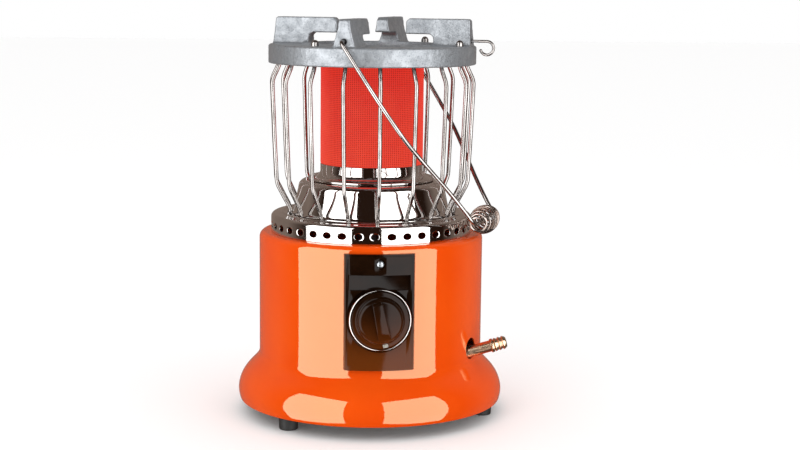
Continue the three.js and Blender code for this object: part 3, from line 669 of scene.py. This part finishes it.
# Control panel and knob
def controlPanel():
    size = {"half": 33.5, "back": -99.0, "side": -106.5, "curve": 115.4, "bar": 2.0, "barHalf": 29.6,
            "barLow": 155.8, "chamfer": 3.4, "recess": 31.5, "floor": -110.0, "slotHalf": 28.6,
            "slotLow": 141.0, "slotFloor": -109.6, "seat": 5.2, "seatFloor": -115.5, "inside": 111.3,
            "plugHalf": 30.4, "plugEdge": 4.6, "plugFront": -112.6, "plugBack": -107.5, "front": -122.0}
    half, curve, cut, front = size["half"], size["curve"], size["chamfer"], size["front"]
    plan = [(half, size["back"]), (half, size["side"]), (half - cut, -curve - 3), (cut - half, -curve - 3),
            (-half, size["side"]), (-half, size["back"])]
    vertices, faces = extruded(plan, panelLow, panelHigh)
    piece = makeObject("controlPanel", ([(x, z, y) for x, y, z in vertices], faces))
    combine(piece, "INTERSECT", [cylinder(curve, 50, 190, 384)])
    wide, low, high = size["barHalf"], size["barLow"], panelHigh - 1.5
    bar = makeObject("panelBar", extruded(
        rounded([(-wide, low), (wide, low), (wide, high), (-wide, high)], 1.2), -120, -109))
    combine(bar, "INTERSECT", [cylinder(curve + size["bar"], 50, 190, 384)])
    combine(piece, "UNION", [takeMesh(bar)])
    wide, edge = size["plugHalf"], size["plugEdge"]
    plug = block(-wide, wide, size["plugFront"], size["plugBack"], panelLow + edge, panelHigh - edge)
    wide, low, high = size["slotHalf"], size["slotLow"], size["barLow"] - 0.4
    slot = extruded(rounded([(-wide, low), (wide, low), (wide, high), (-wide, high)], 1.5),
                    front, size["slotFloor"])
    well = extruded(arcPoints(0, knobZ, size["recess"], 0, 356, 89), -130, size["floor"])
    seat = extruded(arcPoints(0, screwZ, size["seat"], 0, 348, 29), front, size["seatFloor"])
    combine(piece, "DIFFERENCE", [cylinder(size["inside"], 40, 190, 256)])
    combine(piece, "UNION", [plug])
    combine(piece, "DIFFERENCE", [slot, well, seat])
    bevelEdges(piece, 0.5)
    finishPiece(piece, "black_plastic", "root", ["control_panel"], sharp=40)


# Turned about Y, its outline's heights running to the front (-Y) from the panel
def turnedToFront(outline, facets, z):
    lie = Matrix.Rotation(math.pi / 2, 4, "X")
    return placed(turned(outline, facets), Matrix.Translation((0, 0, z)) @ lie)


def panelScrew():
    size = {"head": 3.6, "dome": 0.6, "seat": 115.8, "shank": 2.0, "end": 104.5, "slot": 0.35,
            "slotHalf": 2.2, "slotDepth": 0.6}
    seat, shank, thin, wide = size["seat"], size["shank"], size["slot"], size["slotHalf"]
    outline = [(0, size["end"]), (shank, size["end"]), (shank, seat)] + [
        (r, seat + (z - seat) * size["dome"]) for r, z in arcPoints(0, seat, size["head"], 0, 90, 10)]
    outline[-1] = (0, outline[-1][1])
    piece = makeObject("panelScrew", turnedToFront(outline, 40, screwZ))
    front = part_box("panel_screw")[0].y / mm
    slots = [block(-a, a, front - 2, front + size["slotDepth"], screwZ - b, screwZ + b)
             for a, b in ((wide, thin), (thin, wide))]
    combine(piece, "DIFFERENCE", slots)
    finishPiece(piece, "chrome_plate", "root", ["panel_screw"], material=finishes["zinc_steel"])


def knob():
    size = {"radius": 29.0, "rebate": 27.0, "back": 115.0, "skirt": 120.0, "hub": 127.0, "hubR": 18.8,
            "bore": 4.3, "hollow": 10.0, "hollowTop": 124.3, "front": 132.4, "gripTop": 5.2, "gripLow": 6.6,
            "gripHalf": 19.5, "gripWide": 12.0, "draft": 0.88, "rampZ": -9.0, "lean": -12.0, "markR": 24.6,
            "markHalf": (2.4, 1.6)}
    r, back, skirt, hub = size["radius"], size["back"], size["skirt"], size["hub"]
    line = [(0, hub - 0.6), (size["bore"], hub - 0.6), (size["bore"], size["hollowTop"]),
            (size["hollow"], size["hollowTop"]), (size["hollow"], back), (r - 1, back), (r, back + 1),
            (r, skirt - 1.9), (size["rebate"], skirt - 1.9), (size["rebate"], skirt),
            (22.8, skirt + 0.6), (21, hub - 2), (size["hubR"], hub), (0, hub + 0.4)]
    outline = [line[0]] + rounded(line, 0.8, 3, closed=False)[1:-1] + [line[-1]]
    piece = makeObject("controlKnob", turnedToFront(outline, 144, knobZ))
    half, low, top, front = size["gripHalf"], size["gripLow"], size["gripTop"], size["front"]
    bar = rounded([(-low, -half), (low, -half), (top, half), (-top, half)], 2.5)
    lean = Matrix.Translation((0, 0, knobZ)) @ Matrix.Rotation(math.radians(size["lean"]), 4, "Y")
    grip = makeObject("gripBar", extruded(bar, -hub + 1.5, -front, size["draft"]))
    side = [(hub - 2, -half - 1), (hub + 0.3, -half - 1), (front + 0.2, size["rampZ"]),
            (front + 0.2, half + 1), (hub - 2, half + 1)]
    vertices, faces = extruded(side, -size["gripWide"], size["gripWide"])
    combine(grip, "INTERSECT", [([(x, -y, z) for y, x, z in vertices], faces)])
    bevelEdges(grip, 0.8, 4)
    combine(piece, "UNION", [placed(takeMesh(grip), lean)])
    finishPiece(piece, "black_plastic", "knob", ["control_knob"], sharp=30)
    r, (wide, tall) = size["markR"], size["markHalf"]
    mark = block(-wide, wide, -skirt - 0.75, -skirt - 0.2, -r - tall, -r + tall)
    pointer = makeObject("knobIndexMark", placed(mark, lean))
    bevelEdges(pointer, 0.2)
    finishPiece(pointer, "black_plastic", "knob", ["control_knob"], material=paintedMark)


def trimRing():
    size = {"inner": 27.6, "outer": 29.3, "seat": 118.4, "rise": 1.8, "edge": 0.35}
    inner, outer, low, top = size["inner"], size["outer"], size["seat"], size["seat"] + size["rise"]
    rim = rounded([(inner, low), (outer, low), (outer, low + 0.9), (outer - 0.4, top), (inner + 0.7, top),
                   (inner, low + 1)], size["edge"])
    ring = makeObject("knobTrimRing", turnedToFront(rim, 144, knobZ))
    finishPiece(ring, "chrome_plate", "knob", ["knob_trim_ring"])


def returnSpring():
    size = {"radius": 7.4, "wire": 0.6, "turns": 4.5}
    low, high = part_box("return_spring")
    start, end = high.y / mm - size["wire"], low.y / mm + size["wire"]
    t = np.linspace(0, 1, 120)
    turns = 2 * math.pi * size["turns"] * t
    path = [(size["radius"] * math.cos(a), start + (end - start) * s, knobZ + size["radius"] * math.sin(a))
            for a, s in zip(turns, t)]
    piece = makeObject("returnSpring", swept(path, size["wire"], 8))
    finishPiece(piece, "spring_wire", "root", ["return_spring"])
    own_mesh(piece)


# Hose nozzle
def hoseNozzle():
    size = {"length": 66.0, "shank": 5.6, "collar": 6.8, "barb": 6.6, "neck": 5.4, "bore": 2.6, "rise": 15.0,
            "tip": (129.0, -58.5), "axisZ": 69.5, "axisX": 94.0}
    long, shank, collar, barb, neck, bore = (
        size[key] for key in ("length", "shank", "collar", "barb", "neck", "bore"))
    line = [(0, 0), (shank, 0), (shank, long - 16), (collar, long - 15.5), (collar, long - 13),
            (5.1, long - 12.4)]
    for start in (long - 12.2, long - 8.3, long - 4.4):
        line += [(neck, start), (barb, start + 0.7), (barb, start + 1.2), (neck, start + 3.6)]
    line += [(4.7, long), (bore, long), (bore, long - 24), (0, long - 25)]
    outline = [line[0]] + rounded(line, 0.35, 2, closed=False)[1:-1] + [line[-1]]
    rise = math.radians(size["rise"])
    tipX, y = size["tip"]
    tipZ = size["axisZ"] + (tipX - size["axisX"]) * math.tan(rise)
    stand = Matrix.Translation((tipX, y, tipZ)) @ Matrix.Rotation(-rise, 4, "Y")
    lie = Matrix.Rotation(math.pi / 2, 4, "Y") @ Matrix.Translation((0, 0, -long))
    piece = makeObject("hoseNozzle", placed(turned(outline, 56), stand @ lie))
    finishPiece(piece, "yellow_zinc", "root", ["hose_nozzle"])


# Vent ring: one cell with its oval hole, repeated round the axis
def ventRing():
    size = {"radius": 99.5, "wall": 1.0, "cells": 40, "columns": 8, "holeWide": 8.0, "holeTall": 6.4,
            "holeZ": 189.0, "bandLow": casingTop + 1.3, "bandHigh": ventTop - 4.4, "edge": 4.0,
            "beadR": 88.0, "bead": 1.6, "lipR": 68.0, "foot": 94.0, "shift": -0.25}
    columns, step = size["columns"], 2 * math.pi / size["cells"]
    outer, inner = size["radius"], size["radius"] - size["wall"]
    bandLow, bandHigh, top, edge = size["bandLow"], size["bandHigh"], ventTop, size["edge"]
    angles = np.linspace(-step / 2, step / 2, columns + 1)
    levels = np.linspace(bandLow, bandHigh, columns + 1)
    around = [(a, bandLow) for a in angles[:-1]] + [(angles[-1], z) for z in levels[:-1]]
    around += [(a, bandHigh) for a in angles[:0:-1]] + [(angles[0], z) for z in levels[:0:-1]]
    vertices, faces = [], []

    def add(angle, z, radius):
        vertices.append((radius * math.sin(angle), -radius * math.cos(angle), z))
        return len(vertices) - 1

    def hole(share, grow):
        ring = []
        for angle, z in around:
            turn = math.atan2((z - size["holeZ"]) / (bandHigh - bandLow), angle / step)
            ovalA = (size["holeWide"] / 2 + grow) / outer * math.cos(turn)
            ovalZ = size["holeZ"] + (size["holeTall"] / 2 + grow) * math.sin(turn)
            ring.append((angle + (ovalA - angle) * share, z + (ovalZ - z) * share))
        return ring

    rings = [[add(a, z, outer) for a, z in around]]
    for share, grow, radius in ((0.6, 0.5, outer), (1, 0.45, outer), (1, 0.1, outer - 0.18),
                                (1, 0, outer - 0.45), (1, 0.1, inner), (0.6, 0.5, inner)):
        rings.append([add(a, z, radius) for a, z in hole(share, grow)])
    rings.append([add(a, z, inner) for a, z in around])
    for first, second in zip(rings, rings[1:]):
        for i in range(len(around)):
            j = (i + 1) % len(around)
            faces.append((first[i], first[j], second[j], second[i]))
    crown = [(outer, bandHigh)] + arcPoints(outer - edge, top - edge, edge, 0, 90, 8)
    bead = size["beadR"]
    crown += [(bead + 4, top)] + arcPoints(bead, top, size["bead"], 20, 160, 8) + [(bead - 4, top), (76, top)]
    crown += [(size["lipR"], top), (size["lipR"], top - 1)]
    crown += arcPoints(outer - edge, top - edge, edge - 1, 90, 0, 6) + [(inner, bandHigh)]
    footing = [(inner, bandLow), (size["foot"], bandLow), (size["foot"], bandLow - 1), (outer, bandLow - 1),
               (outer, bandLow)]
    for line in (crown, footing):
        rows = [[add(a, z, r) for a in angles] for r, z in line]
        for low, high in zip(rows, rows[1:]):
            for i in range(columns):
                faces.append((low[i], low[i + 1], high[i + 1], high[i]))
    piece = makeObject("ventRing", placed((vertices, faces), Matrix.Rotation(step * size["shift"], 4, "Z")))
    growWith(piece, repeatAround, {"Count": size["cells"], "Material": finishes["chrome_plate"]})
    tidyMesh(piece, 2e-5)
    finishPiece(piece, "chrome_plate", "root", ["vent_ring"], sharp=40)


# Drum, collar, emitter and its cap
def drum():
    size = {"foot": 79.2, "waist": 76.0, "shoulder": 72.5, "edge": 7.0, "lip": 52.6, "wall": 1.0}
    low, top, foot, edge = bottomOf("reflector_drum"), drumTop, size["foot"], size["edge"]
    r = size["shoulder"]
    line = [(foot, low), (foot - 0.3, low + 0.9), (77.6, low + 1.9), (77, low + 3.4)]
    line += bezierPoints(line[-1], (size["waist"], low + 10), (74.2, low + 17), (r, top - edge), 12)[1:-1]
    line += arcPoints(r - edge, top - edge, edge, 0, 90, 12) + [(60, top), (size["lip"], top)]
    piece = makeObject("reflectorDrum", turned(sheetOutline(line, size["wall"]), 192))
    finishPiece(piece, "chrome_plate", "root", ["reflector_drum"], sharp=50)


def collar():
    size = {"bead": 61.4, "beadR": 1.4, "wall": 1.1}
    low, top = bottomOf("emitter_collar"), topOf("emitter_collar")
    tube, bead, inner = emitterR, size["bead"], emitterR - size["wall"]
    line = [(bead - 2.4, low + 0.2)] + arcPoints(bead, low + 1.4, size["beadR"], -70, 110, 10)
    line += [(bead - 2, low + 1.8)]
    line += bezierPoints((bead - 2.8, low + 2), (bead - 6.8, low + 3), (tube + 0.8, low + 5),
                         (tube, low + 8.5), 10)
    line += [(tube, top - 0.4), (tube - 0.3, top), (inner, top)]
    line += bezierPoints((inner, low + 8.5), (50.4, low + 4.2), (54, low + 2.4), (58, low + 1.2), 10)
    piece = makeObject("emitterCollar", turned(line, 160))
    finishPiece(piece, "chrome_plate", "root", ["emitter_collar"], sharp=45)


def emitter():
    # The real cloth is finer, and this one is as coarse as it needs to be to show
    size = {"wire": 0.42, "uprights": 150, "hoops": 58, "lining": 49.6, "liningWall": 0.8}
    low, high = bottomOf("emitter_mesh") + 0.5, topOf("emitter_mesh") - 0.5
    cloth = makeObject("emitterCloth", ([], []))
    growWith(cloth, clothTree(), {
        "Radius": (emitterR - size["wire"]) * mm, "Low": low * mm, "High": high * mm,
        "Uprights": size["uprights"], "Hoops": size["hoops"], "Wire": size["wire"] * mm,
        "Material": finishes["glowing_mesh"]})
    finishPiece(cloth, "glowing_mesh", "root", ["emitter_mesh"])
    outer, inner = size["lining"], size["lining"] - size["liningWall"]
    sleeve = turned([(outer, low), (outer, high), (inner, high), (inner, low)], 128)
    lining = makeObject("emitterLining", sleeve)
    finishPiece(lining, "glowing_mesh", "root", ["emitter_mesh"], material=glowBehind)


def emitterCap():
    size = {"bore": 4.2, "boss": 9.0, "rib": (30.0, 33.0, 37.0, 40.0), "rim": 52.2, "rimLow": 347.0,
            "wall": 0.8}
    top, bore, rim, low, wall = topOf("emitter_cap"), size["bore"], size["rim"], size["rimLow"], size["wall"]
    start, rise, fall, end = size["rib"]
    line = [(bore, top), (size["boss"], top - 0.1), (11, top - 0.9), (start, top - 1.1), (rise, top - 0.3),
            (fall, top - 0.3), (end, top - 1.2), (50.6, top - 1.4), (rim - 0.1, top - 2.4), (rim, low),
            (rim - wall, low), (rim - wall - 0.1, top - 2.7), (50.4, top - 2.2), (end, top - 2.1),
            (start, top - 2), (bore, top - 1)]
    piece = makeObject("emitterCap", turned(rounded(line, 0.8, 3), 144))
    finishPiece(piece, "heat_steel", "root", ["emitter_cap"], sharp=45)


# Wire guard
def guard():
    size = {"wires": 18, "wire": 2.0, "footR": 82.0, "radius": 100.0, "headR": 92.5, "bend": 5.0,
            "nuts": (60, 140, 240, 320), "nutR": 3.7, "kinkZ": (230, 270, 331, 346.5)}
    low, head = bottomOf("guard_wire_01"), topOf("guard_wire_01")
    r, kinks = size["radius"], size["kinkZ"]
    line = [(size["footR"], low + 1.4), (size["footR"], low + 5), (r - 4.5, kinks[0]), (r - 2.5, kinks[1]),
            (r, kinks[2]), (size["headR"], kinks[3]), (size["headR"], head - 1.4)]
    path = rounded([(0, -r, z) for r, z in line], size["bend"], 6, closed=False)
    piece = makeObject("guardWires", swept(path, size["wire"], 14))
    growWith(piece, repeatAround, {"Count": size["wires"], "Material": finishes["bright_wire"]})
    nodes = [f"guard_wire_{i + 1:02d}" for i in range(size["wires"])]
    finishPiece(piece, "bright_wire", "root", nodes)
    seat = ringTop + 0.3
    r = size["nutR"]
    dome = [(0, seat), (r, seat), (r, seat + 3)] + arcPoints(0, seat + 2.4, r - 0.2, 12, 90, 8)
    dome[-1] = (0, dome[-1][1])
    for i, azimuth in enumerate(size["nuts"]):
        a = math.radians(azimuth)
        shift = Matrix.Translation((size["headR"] * math.sin(a), -size["headR"] * math.cos(a), 0))
        nut = makeObject(f"guardNut{i + 1}", placed(turned(dome, 32), shift))
        finishPiece(nut, "bright_wire", "root", [f"guard_nut_{i + 1}"])


# Cast pan support: one skin over ring and arms, then the roughness of the casting
def panSupport():
    size = {"outer": 102.0, "bore": 63.0, "plate": 7.0, "tip": 35.0, "slot": 15.0, "voxel": 0.95,
            "rough": 0.35, "roughMm": 3.2, "earR": 2.8}
    outer, bore, top, low = size["outer"], size["bore"], ringTop, ringLow
    plate = top - size["plate"]
    ring = turned([(outer, low), (outer, top - 1.5), (outer - 1.5, top), (bore + 6, top),
                   (bore + 5, top + 1.5), (bore, top + 1.5), (bore, top - 10), (bore + 4, top - 10),
                   (bore + 4, plate), (outer - 5.5, plate), (outer - 5, low)], 200)
    edge, tip, under = outer - 2.2, size["tip"], armTop - size["slot"]
    side = [(bore + 0.5, top - 4), (edge, top - 4), (edge - 1.2, armTop - 1.5), (edge - 3, armTop)]
    side += [(tip + 3, armTop), (tip, armTop - 3), (tip, under), (bore - 5, under)]
    side += arcPoints(bore - 5, under - 5, 5, 80, 10, 4) + [(bore, under - 5.5)]
    half = [(11.6, top - 5), (11.2, top), (8.3, top + 9), (6.4, top + 17), (5.2, armTop + 1)]
    taper = half + [(-x, z) for x, z in reversed(half)]
    arm = makeObject("panArm", placed(extruded(side, -13, 13), Matrix.Rotation(-math.pi / 2, 4, "Z")))
    combine(arm, "INTERSECT", [extruded(taper, -120, 0)])
    lie = Matrix.Translation((0, 0, earHeight)) @ Matrix.Rotation(math.pi / 2, 4, "X")
    combine(arm, "DIFFERENCE", [placed(cylinder(size["earR"], 80, 110, 24), lie)])
    shape = takeMesh(arm)
    arms = [placed(shape, Matrix.Rotation(armTurn + math.pi / 2 * k, 4, "Z")) for k in range(4)]
    piece = makeObject("panSupport", joined(ring, *arms))
    skin = piece.modifiers.new("skin", "REMESH")
    skin.mode = "VOXEL"
    skin.voxel_size = size["voxel"] * mm
    soften = piece.modifiers.new("soften", "SMOOTH")
    soften.factor = 0.5
    soften.iterations = 4
    grit = bpy.data.textures.new("castingGrit", "CLOUDS")
    grit.noise_scale = size["roughMm"] * mm
    pushed = piece.modifiers.new("grit", "DISPLACE")
    pushed.texture = grit
    pushed.texture_coords = "LOCAL"
    pushed.strength = size["rough"] * mm
    settle(piece)
    finishPiece(piece, "cast_aluminium", "root", ["pan_support"], sharp=180)


# Bail handle, coil grip and side hook
bailPlace = (Matrix.Translation((0, 0, earHeight)) @ Matrix.Rotation(armTurn, 4, "Z")
             @ Matrix.Rotation(bailHang, 4, "Y"))


def bailHandle():
    size = {"wire": 2.0, "bend": 16.0, "earBend": 5.0, "legs": (
        (84, 0), (109, 0), (107.5, 62), (100, 108), (80, 140), (62, 166), (50, 190), (45, bailReach))}
    front = [(0, -w, -t) for w, t in size["legs"]]
    back = [(0, w, -t) for w, t in reversed(size["legs"])]
    ear = rounded(front[:3], size["earBend"], 6, closed=False)[:-1]
    other = rounded(back[-3:], size["earBend"], 6, closed=False)[1:]
    between = rounded([ear[-1]] + front[2:] + back[:-2] + [other[0]], size["bend"], 8, closed=False)
    path = ear + between[1:-1] + other
    piece = makeObject("bailHandle", placed(swept(path, size["wire"], 14), bailPlace))
    finishPiece(piece, "bright_wire", "bail", ["bail_handle"])


def gripCoil():
    size = {"turns": 10.0, "steps": 320, "end": 5.7, "middle": 12.7, "half": 36.0, "wire": 1.2}
    centre = bailPlace @ Vector((0, 0, -bailReach)) * mm
    piece = makeObject("gripCoil", ([], []))
    growWith(piece, coilTree(), {
        "Turns": size["turns"], "Steps": size["steps"], "End Radius": size["end"] * mm,
        "Middle Radius": size["middle"] * mm, "Half Length": size["half"] * mm, "Wire": size["wire"] * mm,
        "Centre": tuple(centre), "Turn": (0.0, 0.0, armTurn), "Material": finishes["spring_wire"]})
    finishPiece(piece, "spring_wire", "grip", ["grip_coil"])


def sideHook():
    size = {"wire": 1.4, "loop": 6.5, "shank": 114.5, "start": 84.0}
    loop = arcPoints(size["shank"], -size["loop"], size["loop"], 90, -160, 36)
    path = [(0, -size["start"], 0)] + [(0, -r, z) for r, z in loop]
    place = Matrix.Translation((0, 0, earHeight)) @ Matrix.Rotation(armTurn + math.pi / 2, 4, "Z")
    piece = makeObject("sideHook", placed(swept(path, size["wire"], 12), place))
    finishPiece(piece, "bright_wire", "hook", ["side_hook"])


for build in (casing, basePan, feet, controlPanel, panelScrew, knob, trimRing, returnSpring, hoseNozzle,
              ventRing, drum, collar, emitter, emitterCap, guard, panSupport, bailHandle, gripCoil, sideHook):
    build()
    print("built:", build.__name__)


# The nodes that stay as they are take their slot's finish
slotOf = {part["node"]: part["material_slot"] for part in frame["record"]["subparts"]}
for name, node in frame["nodes"].items():
    if not node.hide_render:
        node.data.materials.clear()
        node.data.materials.append(finishes[slotOf[name]])


# Floor, lights and camera
def stageFloor():
    size = {"half": 12000.0}
    far = size["half"]
    corners = [(-far, -far, 0), (far, -far, 0), (far, far, 0), (-far, far, 0)]
    floor = makeObject("floor", (corners, [(0, 1, 2, 3)]))
    paper = {"Base Color": linearColour("#fbfbfb"), "Roughness": 0.9}
    floor.data.materials.append(startMaterial("paperWhiteMatt", paper)[0])
    floor.visible_glossy = False


def softWorld():
    # White paper all round to look at; what shines sees it grey behind the object and dark in front
    look = {"paper": (1.0, 1.0, 1.0, 1.0), "fill": (1.08, 1.08, 1.08, 1.0),
            "behind": (0.24, 0.185, 0.155, 1.0), "front": (0.022, 0.010, 0.006, 1.0)}
    world = bpy.data.worlds.new("studio")
    bpy.context.scene.world = world
    world.use_nodes = True
    tree = world.node_tree
    tree.nodes.clear()
    rays = addNode(tree, "ShaderNodeLightPath")
    place = addNode(tree, "ShaderNodeTexCoord")
    split = addNode(tree, "ShaderNodeSeparateXYZ", {}, {0: place.outputs["Generated"]})
    depth = addNode(tree, "ShaderNodeMapRange", {}, {
        "Value": split.outputs["Y"], "From Min": -0.1, "From Max": 0.4})
    mirrored = addNode(tree, "ShaderNodeMix", {"data_type": "RGBA"}, {
        0: depth.outputs[0], 6: look["front"], 7: look["behind"]})
    lit = addNode(tree, "ShaderNodeMix", {"data_type": "RGBA"}, {
        0: rays.outputs["Is Glossy Ray"], 6: look["fill"], 7: mirrored.outputs[2]})
    seen = addNode(tree, "ShaderNodeMix", {"data_type": "RGBA"}, {
        0: rays.outputs["Is Camera Ray"], 6: lit.outputs[2], 7: look["paper"]})
    light = addNode(tree, "ShaderNodeBackground", {}, {"Color": seen.outputs[2]})
    addNode(tree, "ShaderNodeOutputWorld", {}, {"Surface": light.outputs[0]})


def softbox(name, azimuth, distance, width, height, z, energy, glossy):
    # A soft box stands on an arc round the object and faces it
    lamp = bpy.data.lights.new(name, "AREA")
    lamp.shape = "RECTANGLE"
    lamp.size, lamp.size_y = width, height
    lamp.energy = energy
    holder = bpy.data.objects.new(name, lamp)
    bpy.context.scene.collection.objects.link(holder)
    a = math.radians(azimuth)
    holder.location = (distance * math.sin(a), -distance * math.cos(a), z)
    holder.rotation_euler = (Vector((0, 0, 0.2)) - holder.location).to_track_quat("-Z", "Y").to_euler()
    holder.visible_camera = False
    holder.visible_glossy = glossy
    holder.visible_diffuse = not glossy


def studioLights():
    # Two tall strips give the long highlights; the key and the fill light what isn't glossy
    softbox("stripLeft", azimuth=-53, distance=1.5, width=1.55, height=2.6, z=0.2, energy=48, glossy=True)
    softbox("stripRight", azimuth=35.5, distance=1.5, width=1.6, height=2.6, z=0.2, energy=46, glossy=True)
    softbox("keyLight", azimuth=-35, distance=1.7, width=1.0, height=1.0, z=1.3, energy=5, glossy=False)
    softbox("fillLight", azimuth=45, distance=1.9, width=1.2, height=1.2, z=1.0, energy=3, glossy=False)


def setCamera():
    look = {"azimuth": -4.42, "distance": 1.574, "height": 0.418, "pitch": 8.37, "heading": 5.47,
            "roll": 0.62, "lens": 71.67}
    data = bpy.data.cameras.new("camera")
    data.sensor_width = 36
    data.lens = look["lens"]
    data.clip_start, data.clip_end = 0.05, 60
    holder = bpy.data.objects.new("camera", data)
    bpy.context.scene.collection.objects.link(holder)
    a, h, p = (math.radians(look[key]) for key in ("azimuth", "heading", "pitch"))
    holder.location = (look["distance"] * math.sin(a), -look["distance"] * math.cos(a), look["height"])
    ahead = Vector((math.sin(h) * math.cos(p), math.cos(h) * math.cos(p), -math.sin(p)))
    turn = ahead.to_track_quat("-Z", "Y").to_matrix() @ Matrix.Rotation(math.radians(look["roll"]), 3, "Z")
    holder.rotation_euler = turn.to_euler()
    bpy.context.scene.camera = holder


stageFloor()
softWorld()
studioLights()
setCamera()
bpy.context.scene.view_settings.view_transform = "Standard"
print("stage, lights and camera set")
